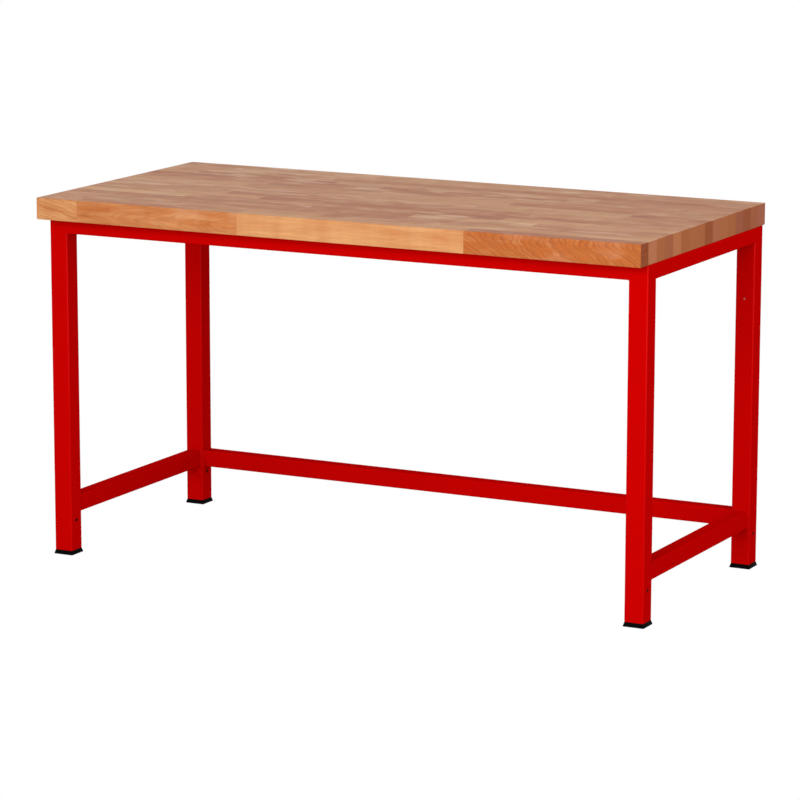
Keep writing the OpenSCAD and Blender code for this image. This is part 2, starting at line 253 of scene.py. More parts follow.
def makeBeech(name, sawnEnd):
    value = beechValues
    grain = value["grain"]
    kind = "sawn" if sawnEnd else "oiled"
    material, tree, shader = newMaterial(name, Specular_IOR_Level=value[kind + "Shine"])
    place = objectPlace(tree)
    look = addNode(tree, "ShaderNodeAttribute", attribute_name="staveLook")
    tone, seed, figure = addNode(tree, "ShaderNodeSeparateColor").outputs
    plug(tree, tone.node.inputs[0], look.outputs["Color"])
    slope = look.outputs["Alpha"]
    pith = addNode(tree, "ShaderNodeAttribute", attribute_name="stavePith").outputs["Vector"]

    # each stave is cut from its own part of the tree
    own = vectorMaths(tree, "ADD", place, vectorMaths(tree, "MULTIPLY", grey(tree, seed), value["treeStep"]))
    broad = streaks(tree, own, grain["broad"])
    middle = streaks(tree, own, grain["middle"])

    # growth rings are slender cones round the pith, so they run out in arches along a face
    away = vectorMaths(tree, "SUBTRACT", place, pith)
    radius = vectorMaths(tree, "LENGTH", vectorMaths(tree, "MULTIPLY", away, (0.0, 1.0, 1.0)))
    reach = maths(tree, "SUBTRACT", radius, maths(tree, "MULTIPLY", splitVector(tree, away)[0], slope))
    wobble = streaks(tree, own, grain["wobble"], 2.0)
    reach = maths(tree, "MULTIPLY_ADD", wobble, value["ringWobble"], reach)
    wiggle = streaks(tree, own, grain["wiggle"], 1.0)
    reach = maths(tree, "MULTIPLY_ADD", wiggle, maths(tree, "MULTIPLY", figure, value["ringWiggle"]), reach)
    alongRings = grey(tree, maths(tree, "ADD", reach, seed))
    uneven = noiseField(tree, alongRings, value["unevenScale"], 1.0)
    reach = maths(tree, "MULTIPLY_ADD", uneven, value["ringUnevenness"], reach)
    pitch = remap(tree, figure, 0.0, 1.0, value["ringPitch"], value["boldPitch"])
    ring = maths(tree, "FRACT", maths(tree, "DIVIDE", reach, pitch))
    rise = remap(tree, ring, 0.30, 0.9)
    fall = remap(tree, ring, 0.9, 1.0, 1.0, 0.0)
    line = maths(tree, "MULTIPLY", maths(tree, "POWER", rise, 2.0), fall)
    lineShare = maths(tree, "MULTIPLY", line, remap(tree, figure, 0.0, 1.0, 0.25, 1.0))
    lineShare = maths(tree, "MULTIPLY", lineShare, spread(tree, broad, 0.35, 1.0))

    # the stave's own tone, which the grain swings on the long faces
    toneNow = tone
    if not sawnEnd:
        curl = streaks(tree, own, grain["curl"], 1.0)
        band = noiseField(tree, alongRings, value["bandScale"], 1.0)
        for field, swing in ((curl, value["curl"]), (band, figure), (broad, value["broadSwing"])):
            toneNow = maths(tree, "MULTIPLY_ADD", maths(tree, "SUBTRACT", field, 0.5), swing, toneNow)
    dark = value["endRusset" if sawnEnd else "russet"]
    colour = mixColours(tree, maths(tree, "MULTIPLY", toneNow, value["paleShare"]), dark, value["pale"])
    lineColour = mixColours(tree, figure, value["line"], value["boldLine"])
    colour = mixColours(tree, lineShare, colour, mixColours(tree, 1.0, colour, lineColour, "MULTIPLY"))
    if sawnEnd:     # darker, with open pores instead of streaks
        pores = noiseField(tree, place, value["poreScale"], 2.0)
        shade = remap(tree, pores, 0.35, 0.65, 0.86, 1.08)
        heart = maths(tree, "FRACT", maths(tree, "MULTIPLY", seed, value["heartShuffle"]))
        tint = mixColours(tree, remap(tree, heart, 0.55, 0.85), value["endGrain"], value["endHeartwood"])
        colour = vectorMaths(tree, "MULTIPLY", colour, tint)
        relief = maths(tree, "MULTIPLY", shade, value["poreDepth"])
    else:
        fine = streaks(tree, own, grain["fine"], 2.0)
        dashes = streaks(tree, own, grain["dashes"], 1.0)
        # painted sheen and painted shade: the figure's shimmer, lighter and darker along the staves
        flash = streaks(tree, own, grain["flash"], 1.0)
        lively = maths(tree, "FRACT", maths(tree, "MULTIPLY", seed, value["flashShuffle"]))
        sheenShare = maths(tree, "MULTIPLY", remap(tree, flash, 0.51, 0.63, 0.0, 0.75), lively)
        sheenShadeShare = maths(tree, "MULTIPLY", remap(tree, flash, 0.46, 0.34), lively)
        colour = mixColours(tree, sheenShare, colour, value["paintedSheen"])
        darker = mixColours(tree, 1.0, colour, value["paintedSheenShade"], "MULTIPLY")
        colour = mixColours(tree, sheenShadeShare, colour, darker)
        shade = remap(tree, middle, 0.25, 0.75, 0.92, 1.08)
        shade = maths(tree, "ADD", shade, spread(tree, fine, -0.05, 0.05))
        shade = maths(tree, "SUBTRACT", shade, remap(tree, dashes, 0.60, 0.70, 0.0, 0.10))
        relief = maths(tree, "MULTIPLY", maths(tree, "ADD", fine, dashes), value["grainDepth"])
    colour = vectorMaths(tree, "MULTIPLY", colour, grey(tree, shade))

    # glue joints, from the distance to the stave's own edges
    span = addNode(tree, "ShaderNodeAttribute", attribute_name="staveSpan")
    front, rear, left = addNode(tree, "ShaderNodeSeparateColor").outputs
    plug(tree, front.node.inputs[0], span.outputs["Color"])
    right = span.outputs["Alpha"]
    x, y, _ = splitVector(tree, place)
    across = maths(tree, "MINIMUM", maths(tree, "SUBTRACT", y, front), maths(tree, "SUBTRACT", rear, y))
    along = maths(tree, "MINIMUM", maths(tree, "SUBTRACT", x, left), maths(tree, "SUBTRACT", right, x))
    width = value["jointWidth"]
    joint = remap(tree, maths(tree, "MINIMUM", across, along), width * 0.3, width, 1.0, 0.0)
    colour = mixColours(tree, maths(tree, "MULTIPLY", joint, value["glueShare"]), colour, value["glue"])
    height = maths(tree, "MULTIPLY_ADD", joint, -value["jointDepth"], relief)
    rough = spread(tree, middle, *value[kind + "Roughness"])
    plugAll(tree, shader, {"Base Color": colour, "Roughness": rough, "Normal": bumpNormal(tree, height)})
    return material


# Red powder coat on the welded frame

coatValues = {
    "red": (0.500, 0.0006, 0.0004),
    "paintedEdgeHighlight": (0.590, 0.0060, 0.0060),    # painted highlight along upright round edges
    "paintedHighlightFoot": (0.30, 0.62, 0.3, 1.0),    # two heights in metres, and the painted highlight's share at each, so that it fades towards the feet
    # between these it grows from none to full; a flat face has 0 and the middle of a round edge 0.5
    "paintedHighlightFacing": (0.15, 0.40),
    "wearAndPaintedShade": (0.100, 0.0006, 0.0004),    # painted shade: a dark ring of coat round each clamp screw
    "paintedShadeRadius": 0.0042,
    "paintedShadeFade": 0.0005,
    "peelSize": 0.0022,      # the coat's orange peel, from one dimple to the next
    "peelContrast": 0.03,
    "peelDepth": 0.00004,
    "patchSize": 0.09,
    "patchContrast": 0.035,
    "roughness": 0.24,
    "gloss": 0.08,           # a red sheen: the coat is too deep a red to mirror any white
    "sheen": (1.0, 0.02, 0.02),
}


def makeCoat():
    value = coatValues
    material, tree, shader = newMaterial(
        "redPowderCoat", Metallic=value["gloss"], Specular_IOR_Level=0.0, Specular_Tint=value["sheen"])
    place = objectPlace(tree)
    patch = mottle(tree, place, value, "patch")
    peel = mottle(tree, place, value, "peel")
    factor = maths(tree, "MULTIPLY", patch["Factor"], peel["Factor"])
    # painted highlight: lighter red along the upright round edges, fading towards the feet
    facing = splitVector(tree, place.node.outputs["Normal"])
    edge = maths(tree, "ABSOLUTE", maths(tree, "MULTIPLY", facing[0], facing[1]))
    edge = remap(tree, edge, *value["paintedHighlightFacing"])
    edge = maths(tree, "MULTIPLY", edge, remap(tree, splitVector(tree, place)[2], *value["paintedHighlightFoot"]))
    colour = mixColours(tree, edge, value["red"], value["paintedEdgeHighlight"])
    # painted shade round each clamp screw, on the faces that look to the right
    facesRight = remap(tree, facing[0], 0.9, 0.95)
    radius = value["paintedShadeRadius"]
    for side in ("front_right", "rear_right"):      # the left legs' screws stand at the same depth and height
        screw = sum(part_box("clamp_screw_" + side), Vector()) / 2
        offset = vectorMaths(tree, "SUBTRACT", place, tuple(screw))
        distance = vectorMaths(tree, "LENGTH", vectorMaths(tree, "MULTIPLY", offset, (0.0, 1.0, 1.0)))
        wearAndPaintedShade = remap(tree, distance, radius, radius + value["paintedShadeFade"], 1.0, 0.0)
        colour = mixColours(tree, maths(tree, "MULTIPLY", wearAndPaintedShade, facesRight), colour, value["wearAndPaintedShade"])
    peelHeight = maths(tree, "MULTIPLY", peel["Noise"], value["peelDepth"])
    plugAll(tree, shader, {"Base Color": vectorMaths(tree, "MULTIPLY", colour, grey(tree, factor)),
                           "Roughness": maths(tree, "MULTIPLY", patch["Factor"], value["roughness"]),
                           "Normal": bumpNormal(tree, peelHeight)})
    return material


# Zinc, plastic and black steel

innerValues = {
    "zinc": (0.56, 0.57, 0.58),
    "wearAndPaintedShade": (0.34, 0.34, 0.35),
    "rubbedShare": 0.5,
    "rubbedGloss": 0.12,       # how much less rough a scratch is
    "lines": (0.0009, 0.0009, 0.16),
    "lineDepth": 0.00003,
    "scratches": (0.0012, 0.0012, 0.05),
    "spangleSize": 0.022,
    "spangleContrast": 0.16,
    "roughness": (0.36, 0.50),
}


def makeInnerZinc():
    # drawn tube, plated: lines along its length, cloudy spangle and the marks of sliding
    value = innerValues
    material, tree, shader = newMaterial("innerLegZinc", Metallic=1.0)
    place = objectPlace(tree)
    lines = streaks(tree, place, value["lines"])
    scratches = remap(tree, streaks(tree, place, value["scratches"], 1.0), 0.64, 0.72)
    cloud = mottle(tree, place, value, "spangle")
    factor = maths(tree, "MULTIPLY", cloud["Factor"], spread(tree, lines, 0.93, 1.07))
    colour = vectorMaths(tree, "MULTIPLY", value["zinc"], grey(tree, factor))
    worn = maths(tree, "MULTIPLY", scratches, value["rubbedShare"])
    rough = spread(tree, cloud["Noise"], *value["roughness"])
    plugAll(tree, shader, {
        "Base Color": mixColours(tree, worn, colour, value["wearAndPaintedShade"]),
        "Roughness": maths(tree, "MULTIPLY_ADD", scratches, -value["rubbedGloss"], rough),
        "Normal": bumpNormal(tree, maths(tree, "MULTIPLY", lines, value["lineDepth"]))})
    return material


fastenerValues = {
    "colour": (0.72, 0.71, 0.66),
    "cloudSize": 0.004,
    "cloudContrast": 0.12,
    "roughness": (0.26, 0.40),
    "relief": 0.00002,
}
blackSteelValues = {
    "colour": (0.006, 0.006, 0.006),
    "cloudSize": 0.0015,
    "cloudContrast": 0.35,
    "roughness": (0.32, 0.48),
    "relief": 0.00002,
}


def makeCloudyMetal(name, value, **fixed):
    # one soft cloud swings the colour, the roughness and the relief
    material, tree, shader = newMaterial(name, **fixed)
    cloud = mottle(tree, objectPlace(tree), value, "cloud")
    plugAll(tree, shader, {
        "Base Color": vectorMaths(tree, "MULTIPLY", value["colour"], grey(tree, cloud["Factor"])),
        "Roughness": spread(tree, cloud["Noise"], *value["roughness"]),
        "Normal": bumpNormal(tree, maths(tree, "MULTIPLY", cloud["Noise"], value["relief"]))})
    return material


plasticValues = {
    "colour": (0.0025, 0.0025, 0.0027),
    "cloudSize": 0.015,
    "cloudContrast": 0.3,
    "grainSize": 0.0006,
    "grainContrast": 0.25,
    "grainDepth": 0.00003,
    "roughness": (0.48, 0.62),
}


def makePlastic():
    # moulded black plastic with a fine spark-eroded grain, scuffed a little
    value = plasticValues
    material, tree, shader = newMaterial("mouldedPlastic", Specular_IOR_Level=0.02)
    place = objectPlace(tree)
    grain = mottle(tree, place, value, "grain")
    cloud = mottle(tree, place, value, "cloud")
    factor = maths(tree, "MULTIPLY", grain["Factor"], cloud["Factor"])
    plugAll(tree, shader, {
        "Base Color": vectorMaths(tree, "MULTIPLY", value["colour"], grey(tree, factor)),
        "Roughness": spread(tree, cloud["Noise"], *value["roughness"]),
        "Normal": bumpNormal(tree, maths(tree, "MULTIPLY", grain["Noise"], value["grainDepth"]))})
    return material


insertValues = {
    "paintedBoreGlint": (0.97, 0.40, 0.36),    # painted glint: the bore's zinc made pale pink and bright
    "boreMetal": 0.15,
    "boreRoughness": 0.6,
    "cloudSize": 0.002,
    "cloudContrast": 0.12,
    "coatFrom": 0.0025,            # the coat begins here, less its ragged edge
    "coatFade": 0.0001,
    "ragged": 0.0006,
}


def makeInsertFinish():
    # the insert was set before the frame was coated, and only its bore is masked: matt zinc inside, coloured pale
    # pink as a painted glint
    value = insertValues
    low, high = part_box("threaded_insert")
    middle = (low + high) / 2
    material, tree, shader = newMaterial("coatedInsert", Specular_IOR_Level=0.0)
    place = objectPlace(tree)
    offset = vectorMaths(tree, "SUBTRACT", place, tuple(middle))
    radius = vectorMaths(tree, "LENGTH", vectorMaths(tree, "MULTIPLY", offset, (1.0, 0.0, 1.0)))
    cloud = mottle(tree, place, value, "cloud")
    ragged = maths(tree, "MULTIPLY_ADD", cloud["Noise"], value["ragged"], radius)
    coated = remap(tree, ragged, value["coatFrom"], value["coatFrom"] + value["coatFade"])
    # painted glint in the bore
    zinc = vectorMaths(tree, "MULTIPLY", value["paintedBoreGlint"], grey(tree, cloud["Factor"]))
    plugAll(tree, shader, {
        "Base Color": mixColours(tree, coated, zinc, coatValues["red"]),
        "Metallic": remap(tree, coated, 0.0, 1.0, value["boreMetal"], coatValues["gloss"]),
        "Roughness": remap(tree, coated, 0.0, 1.0, value["boreRoughness"], coatValues["roughness"])})
    return material


materials = {
    "worktop_beech": makeBeech("beechOiled", False),
    "frame_red": makeCoat(),
    "inner_leg_zinc": makeInnerZinc(),
    "black_plastic": makePlastic(),
    "zinc_fasteners": makeCloudyMetal("fastenerZinc", fastenerValues, Metallic=1.0),
    "black_steel": makeCloudyMetal(
        "blackOxideSteel", blackSteelValues, Metallic=0.4, Specular_IOR_Level=0.02),
}
sawnBeech = makeBeech("beechSawnEnd", True)
print("materials made:", len(materials) + 1)


# Tools for pieces

def addObject(name, data):
    thing = bpy.data.objects.new(name, data)
    bpy.context.scene.collection.objects.link(thing)
    return thing


def finishPiece(piece, body, slot, *replaced):
    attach(piece, body)
    if replaced:
        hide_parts(*replaced)


def bakeTree(piece, tree, **values):
    # runs a Geometry Nodes tree on the piece and keeps its result as a plain mesh
    modifier = piece.modifiers.new("tree", "NODES")
    modifier.node_group = tree
    for socket in tree.interface.items_tree:
        if socket.in_out == "INPUT" and socket.name in values:
            modifier[socket.identifier] = values[socket.name]
    bakeModifiers(piece)


def bakeModifiers(piece):
    depsgraph = bpy.context.evaluated_depsgraph_get()
    mesh = bpy.data.meshes.new_from_object(piece.evaluated_get(depsgraph))
    piece.modifiers.clear()
    piece.data = mesh


def meshFrom(name, points, faces, edges=()):
    mesh = bpy.data.meshes.new(name)
    mesh.from_pydata(points, edges, faces)
    mesh.update()
    return mesh


def loftRings(rings):
    # faces between neighbouring rings of as many points each, and one over each end
    count = len(rings[0])
    points = [point for ring in rings for point in ring]
    faces = []
    for level in range(len(rings) - 1):
        for step in range(count):
            a, b = level * count + step, level * count + (step + 1) % count
            faces.append((a, b, b + count, a + count))
    faces.append(tuple(reversed(range(count))))
    faces.append(tuple(range(len(points) - count, len(points))))
    return points, faces


def cutAway(piece, cutterMesh):
    cutter = addObject("cutter", cutterMesh)
    modifier = piece.modifiers.new("cut", "BOOLEAN")
    modifier.operation = "DIFFERENCE"
    modifier.solver = "EXACT"
    modifier.object = cutter
    bakeModifiers(piece)
    bpy.data.objects.remove(cutter)


# Worktop of beech staves

topValues = {
    "firstRow": 0.040,         # the front row is planed narrower than the rest
    "rowWidth": 0.044,
    "shortestStave": 0.20,
    "longestStave": 0.48,
    "offcut": 0.08,            # no end piece is shorter
    "layoutSeed": 899159,
    "grainSeed": 4,
    "edgeRadius": 0.0015,
    "figure": 0.35,            # how bold the rings are at most, away from the front row
    "slope": 0.10,             # how steeply they run out, either way
    "pithReach": (0.01, 0.14),
    # staves that stand out in the photo: the row, counted from the front, a place along it, and the tone
    "marked": ((3, 0.30, 1.1), (4, -0.62, 1.4), (4, 0.25, 0.15), (6, 0.20, 0.25), (9, -0.30, 0.5),
               (9, 0.40, 0.12), (10, -0.60, 0.35)),
    # the front row's joints, and each stave's tone, seed, figure, slope and pith, seen from its middle
    "frontJoints": (-0.642, -0.226, 0.335),
    "frontStaves": (
        (0.72, 0.31, 0.80, 0.25, (0.0, 0.020, 0.130)),
        (0.34, 0.402, 0.40, 0.14, (0.0, -0.004, -0.005)),
        (0.86, 0.155, 0.10, 0.05, (0.0, 0.050, -0.050)),
        (0.01, 0.78, 1.00, 0.50, (0.0, -0.002, 0.021)),
    ),
}


facetShare = math.tan(math.pi / 8)      # spaces the points round an edge evenly, 22.5 degrees apart


def layStaves(low, high):
    # every stave as its row's edges, its ends and its look
    value = topValues
    layout = random.Random(value["layoutSeed"])
    grain = random.Random(value["grainSeed"])
    middleZ = (low.z + high.z) / 2
    staves = []
    rear = low.y + value["firstRow"]
    joints = (low.x, *value["frontJoints"], high.x)
    for left, right, stave in zip(joints, joints[1:], value["frontStaves"]):
        *look, pith = stave
        centre = Vector(((left + right) / 2, (low.y + rear) / 2, middleZ))
        staves.append((left, right, low.y, rear, look, centre + Vector(pith)))
    row = 0
    while rear < high.y - value["rowWidth"] / 2:
        front, rear = rear, rear + value["rowWidth"]
        row += 1
        marks = [mark[1:] for mark in value["marked"] if mark[0] == row]
        joints, x = [low.x], low.x + layout.uniform(value["offcut"], value["longestStave"])
        while x < high.x - value["offcut"]:
            joints.append(round(x, 3))
            x += layout.uniform(value["shortestStave"], value["longestStave"])
        joints.append(high.x)
        for left, right in zip(joints, joints[1:]):
            tone = layout.betavariate(2, 2)
            for x, marked in marks:
                tone = marked if left < x < right else tone
            turn, reach = grain.uniform(0, math.tau), grain.uniform(*value["pithReach"])
            centre = Vector(((left + right) / 2, (front + rear) / 2, middleZ))
            pith = Vector((0.0, reach * math.cos(turn), reach * math.sin(turn)))
            look = (tone, grain.random(), value["figure"] * grain.random() ** 2,
                    grain.uniform(-value["slope"], value["slope"]))
            staves.append((left, right, front, min(rear, high.y), look, centre + pith))
    return staves


def cutPlaces(low, high, rim, joints):
    # the joints and the steps of the rounded rim, each once
    steps = [low + step for step in rim] + [high - step for step in rim]
    return sorted({round(place, 5) for place in joints + steps})


def makePlan(low, high, staves):
    # flat mesh at the worktop's underside, cut along every joint, with each face knowing its stave
    edge = topValues["edgeRadius"]
    rim = (0.0, edge * (1 - facetShare), edge)
    across = cutPlaces(low.x, high.x, rim, [v for stave in staves for v in stave[:2]])
    along = cutPlaces(low.y, high.y, rim, [v for stave in staves for v in stave[2:4]])
    points = [(x, y, low.z) for y in along for x in across]
    wide = len(across)
    faces, looks, piths, spans = [], [], [], []
    for row in range(len(along) - 1):
        y = (along[row] + along[row + 1]) / 2
        rowStaves = [stave for stave in staves if stave[2] < y < stave[3]]
        for step in range(wide - 1):
            x = (across[step] + across[step + 1]) / 2
            left, right, front, rear, look, pith = next(s for s in rowStaves if s[0] < x < s[1])
            first = row * wide + step
            faces.append((first, first + 1, first + 1 + wide, first + wide))
            looks.extend(look)
            piths.extend(pith)
            # the outer sides have no joint, so their edges are put out of reach
            spans += (front - (front <= low.y + edge), rear + (rear >= high.y - edge),
                      left - (left <= low.x + edge), right + (right >= high.x - edge))
    mesh = meshFrom("worktopPlan", points, faces)
    for name, kind, field, values in (("staveLook", "FLOAT_COLOR", "color", looks),
                                      ("stavePith", "FLOAT_VECTOR", "vector", piths),
                                      ("staveSpan", "FLOAT_COLOR", "color", spans)):
        mesh.attributes.new(name, kind, "FACE").data.foreach_set(field, values)
    return mesh


def makeSlabTree():
    # raises a flat plan into a slab and rounds its outer edges
    tree, given, made = newGroup(
        "slabFromPlan",
        {"Plan": ("NodeSocketGeometry", None), "Low": ("NodeSocketVector", None),
         "High": ("NodeSocketVector", None), "Edge Radius": ("NodeSocketFloat", 0.0015),
         "Material": ("NodeSocketMaterial", None), "End Material": ("NodeSocketMaterial", None)},
        {"Slab": "NodeSocketGeometry"}, "GeometryNodeTree")
    radius = given["Edge Radius"]
    rimStep = maths(tree, "MULTIPLY", radius, 1 - facetShare)
    restStep = maths(tree, "MULTIPLY", radius, facetShare)
    height = vectorMaths(tree, "SUBTRACT", given["High"], given["Low"])
    straight = maths(tree, "SUBTRACT", splitVector(tree, height)[2], maths(tree, "MULTIPLY", radius, 2.0))
    body, top = given["Plan"], True
    for step in (rimStep, restStep, straight, restStep, rimStep):
        extrude = addNode(tree, "GeometryNodeExtrudeMesh")
        plugAll(tree, extrude, {"Mesh": body, "Selection": top, "Offset": (0.0, 0.0, 1.0),
                                "Offset Scale": step, "Individual": False})
        body, top = extrude.outputs["Mesh"], extrude.outputs["Top"]
    under = addNode(tree, "GeometryNodeFlipFaces")
    plug(tree, under.inputs["Mesh"], given["Plan"])
    both = addNode(tree, "GeometryNodeJoinGeometry")
    plug(tree, both.inputs[0], under.outputs[0])
    plug(tree, both.inputs[0], body)
    merged = addNode(tree, "GeometryNodeMergeByDistance")
    plugAll(tree, merged, {"Geometry": both.outputs[0], "Distance": 0.00001})
    # the nearest point of the inner block, and the way out from it
    inset = joinVector(tree, radius, radius, radius)
    place = addNode(tree, "GeometryNodeInputPosition").outputs[0]
    inner = vectorMaths(tree, "MAXIMUM", place, vectorMaths(tree, "ADD", given["Low"], inset))
    inner = vectorMaths(tree, "MINIMUM", inner, vectorMaths(tree, "SUBTRACT", given["High"], inset))
    out = vectorMaths(tree, "SUBTRACT", place, inner)
    soft = addNode(tree, "GeometryNodeSetShadeSmooth", domain="FACE")
    farOut = maths(tree, "MULTIPLY", radius, 1.001)
    onRim = maths(tree, "GREATER_THAN", vectorMaths(tree, "LENGTH", out), farOut)
    plugAll(tree, soft, {0: merged.outputs[0], "Shade Smooth": onRim})
    rounded = addNode(tree, "GeometryNodeSetPosition")
    arc = vectorMaths(tree, "MULTIPLY", vectorMaths(tree, "NORMALIZE", out), inset)
    plugAll(tree, rounded, {"Geometry": soft.outputs[0], "Position": vectorMaths(tree, "ADD", inner, arc)})
    painted = endTree(tree, rounded.outputs[0], given["Material"], made[0])
    ends = addNode(tree, "GeometryNodeSetMaterial")
    lengthwise = splitVector(tree, addNode(tree, "GeometryNodeInputNormal").outputs[0])[0]
    atEnd = maths(tree, "GREATER_THAN", maths(tree, "ABSOLUTE", lengthwise), 0.8)
    plugAll(tree, ends, {"Geometry": painted, "Selection": atEnd, "Material": given["End Material"]})
    plug(tree, made[0], ends.outputs[0])
    return tree


def endTree(tree, geometry, material, result):
    real = addNode(tree, "GeometryNodeRealizeInstances")
    plug(tree, real.inputs[0], geometry)
    painted = addNode(tree, "GeometryNodeSetMaterial")
    plugAll(tree, painted, {"Geometry": real.outputs[0], "Material": material})
    plug(tree, result, painted.outputs[0])
    return painted.outputs[0]


def screwPoints():
    # the wood screws' axes: the middle of each loose solid of the CAD node
    copy = bmesh.new()
    copy.from_mesh(nodes["worktop_screws"].data)
    bmesh.ops.remove_doubles(copy, verts=copy.verts, dist=0.00001)
    left = set(copy.verts)
    middles = []
    while left:
        group, edge = set(), [next(iter(left))]
        while edge:
            vert = edge.pop()
            if vert not in group:
                group.add(vert)
                edge += [e.other_vert(vert) for e in vert.link_edges]
        left -= group
        xs, ys = [v.co.x for v in group], [v.co.y for v in group]
        middles.append(((min(xs) + max(xs)) / 2, (min(ys) + max(ys)) / 2))
    copy.free()
    return sorted(middles)


def circleRing(x, y, z, radius, count):
    turns = [math.tau * step / count for step in range(count)]
    return [(x + radius * math.cos(a), y + radius * math.sin(a), z) for a in turns]


def makeWorktop():
    low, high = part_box("worktop")
    staves = layStaves(low, high)
    piece = addObject("worktopStaves", makePlan(low, high, staves))
    bakeTree(piece, makeSlabTree(), **{"Low": low, "High": high, "Edge Radius": topValues["edgeRadius"],
                                       "Material": materials["worktop_beech"], "End Material": sawnBeech})
    finishPiece(piece, "frame", "worktop_beech", "worktop")
    return piece, len(staves)


worktop, staveCount = makeWorktop()
print("worktop glued up from", staveCount, "staves,", len(worktop.data.polygons), "faces")


# Foot caps

capValues = {
    "soleRounding": 0.0008,
    "soleSteps": 3,
    "rimHeight": 0.002,
    "rimDrop": 0.0006,      # over this height the rim's upper edge is broken
    "neckRise": 0.0004,     # and over this one the neck's
    "broken": 0.0003,       # how far in both go
    "height": 0.010,
    "plugWidth": 0.0334,
    "plugWall": 0.0025,
    "leadIn": 0.001,        # chamfer at the plug's upper edge
    "cornerRadius": 0.003,
    "cornerSteps": 4,
}


def squareRing(centre, z, half, radius):
    # a square outline with round corners, anticlockwise from above
    steps = capValues["cornerSteps"]
    points = []
    for quarter in range(4):
        for step in range(steps + 1):
            angle = math.radians(90 * (quarter + step / steps))
            side = Matrix.Rotation(math.radians(90 * quarter), 2) @ Vector((1.0, 1.0))
            points.append((centre.x + side.x * (half - radius) + radius * math.cos(angle),
                           centre.y + side.y * (half - radius) + radius * math.sin(angle), z))
    return points


def makeFootCap(corner):
    value = capValues
    low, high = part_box("foot_cap_" + corner)
    legLow, legHigh = legBoxes[corner]
    centre = (low + high) / 2
    sole, neck = (high.x - low.x) / 2, (legHigh.x - legLow.x) / 2
    plugHalf, radius = value["plugWidth"] / 2, value["cornerRadius"]
    rings = []
    for step in range(value["soleSteps"] + 1):
        angle = math.radians(90 * step / value["soleSteps"])
        inset = value["soleRounding"] * (1 - math.sin(angle))
        rings.append((value["soleRounding"] * (1 - math.cos(angle)), sole - inset, radius - inset))
    rings += [
        (value["rimHeight"], sole, radius),
        (value["rimHeight"] + value["rimDrop"], sole - value["broken"], radius),
        (value["height"] - value["neckRise"], neck, radius),
        (value["height"], neck - value["broken"], radius - value["broken"]),
        (value["height"], plugHalf, radius / 3),
        (high.z - value["leadIn"], plugHalf, radius / 3),
        (high.z, plugHalf - value["leadIn"] / 2, radius / 3),
        (high.z, plugHalf - value["plugWall"], radius / 4),
        (value["height"], plugHalf - value["plugWall"], radius / 4),
    ]
    points, faces = loftRings([squareRing(centre, *ring) for ring in rings])
    mesh = meshFrom("footCap_" + corner, points, faces)
    mesh.materials.append(materials["black_plastic"])
    piece = addObject("footCap_" + corner, mesh)
    smoothRounds(piece, 35)
    finishPiece(piece, "leg_" + corner, "black_plastic", "foot_cap_" + corner)


def smoothRounds(piece, limit):
    # smooth shading, with edges sharper than the limit kept hard
    mesh = piece.data
    mesh.polygons.foreach_set("use_smooth", [True] * len(mesh.polygons))
    copy = bmesh.new()
    copy.from_mesh(mesh)
    for edge in copy.edges:
        edge.smooth = len(edge.link_faces) == 2 and edge.calc_face_angle() < math.radians(limit)
    copy.to_mesh(mesh)
    copy.free()


for corner in corners:
    makeFootCap(corner)
print("foot caps moulded")


# Wood screws under the worktop

screwValues = {
    "headWidth": 0.012,
    "headHeight": 0.0036,
    "crownSteps": 7,
    "crownShare": 0.62,       # the crown's full rise, of the head's height
    "brimShare": 0.36,        # and the height of the straight brim below it
    "broken": 0.0003,         # the bearing face's edge
    "coreWidth": 0.0040,
    "threadWidth": 0.0060,
    "threadPitch": 0.0030,
    "stepsPerPitch": 6,
    "ridgeSlope": 3.2,        # a thread's ridge is 2 / 3.2 of the pitch wide at its foot
    "tipLength": 0.008,
    "tipShare": 0.08,         # of the shaft's width, at the very tip
    "recessWidth": 0.0013,
    "recessReach": 0.0032,
    "recessDepth": 0.0022,
    "recessProud": 0.0005,    # the cutter stands out of the head this far
    "recessShares": (1.08, 0.45),    # the cross's size at its mouth and at its foot
    "segments": 24,
    "turnSeed": 7,
}


def makeScrewMesh(length):
    # one screw standing on its head's bearing face, at the origin
    value = screwValues
    count = value["segments"]
    headRadius, headHeight = value["headWidth"] / 2, value["headHeight"]
    crown, broken = headHeight * value["crownShare"], value["broken"]
    rings = []
    for step in range(value["crownSteps"]):       # the crowned head, from its pole to the rim
        angle = math.radians(90 * (step + 0.5) / value["crownSteps"])
        rings.append((-headHeight + crown * (1 - math.cos(angle)), headRadius * math.sin(angle)))
    rings += [(-headHeight * value["brimShare"], headRadius), (-broken, headRadius),
              (0.0, headRadius - broken)]
    ringPoints = [circleRing(0, 0, z, radius, count) for z, radius in rings]
    core, crest = value["coreWidth"] / 2, value["threadWidth"] / 2
    steps = int(length / value["threadPitch"] * value["stepsPerPitch"])
    for level in range(steps + 1):
        z = length * level / steps
        taper = min(1.0, max(value["tipShare"], (length - z) / value["tipLength"]))
        ring = []
        for step in range(count):
            turn = step / count
            phase = (z / value["threadPitch"] - turn) % 1.0
            ridge = max(0.0, 1 - abs(phase - 0.5) * value["ridgeSlope"]) if z > value["threadPitch"] else 0.0
            radius = (core + (crest - core) * ridge) * taper
            ring.append((radius * math.cos(math.tau * turn), radius * math.sin(math.tau * turn), z))
        ringPoints.append(ring)
    points, faces = loftRings(ringPoints)
    return meshFrom("woodScrew", points, faces)


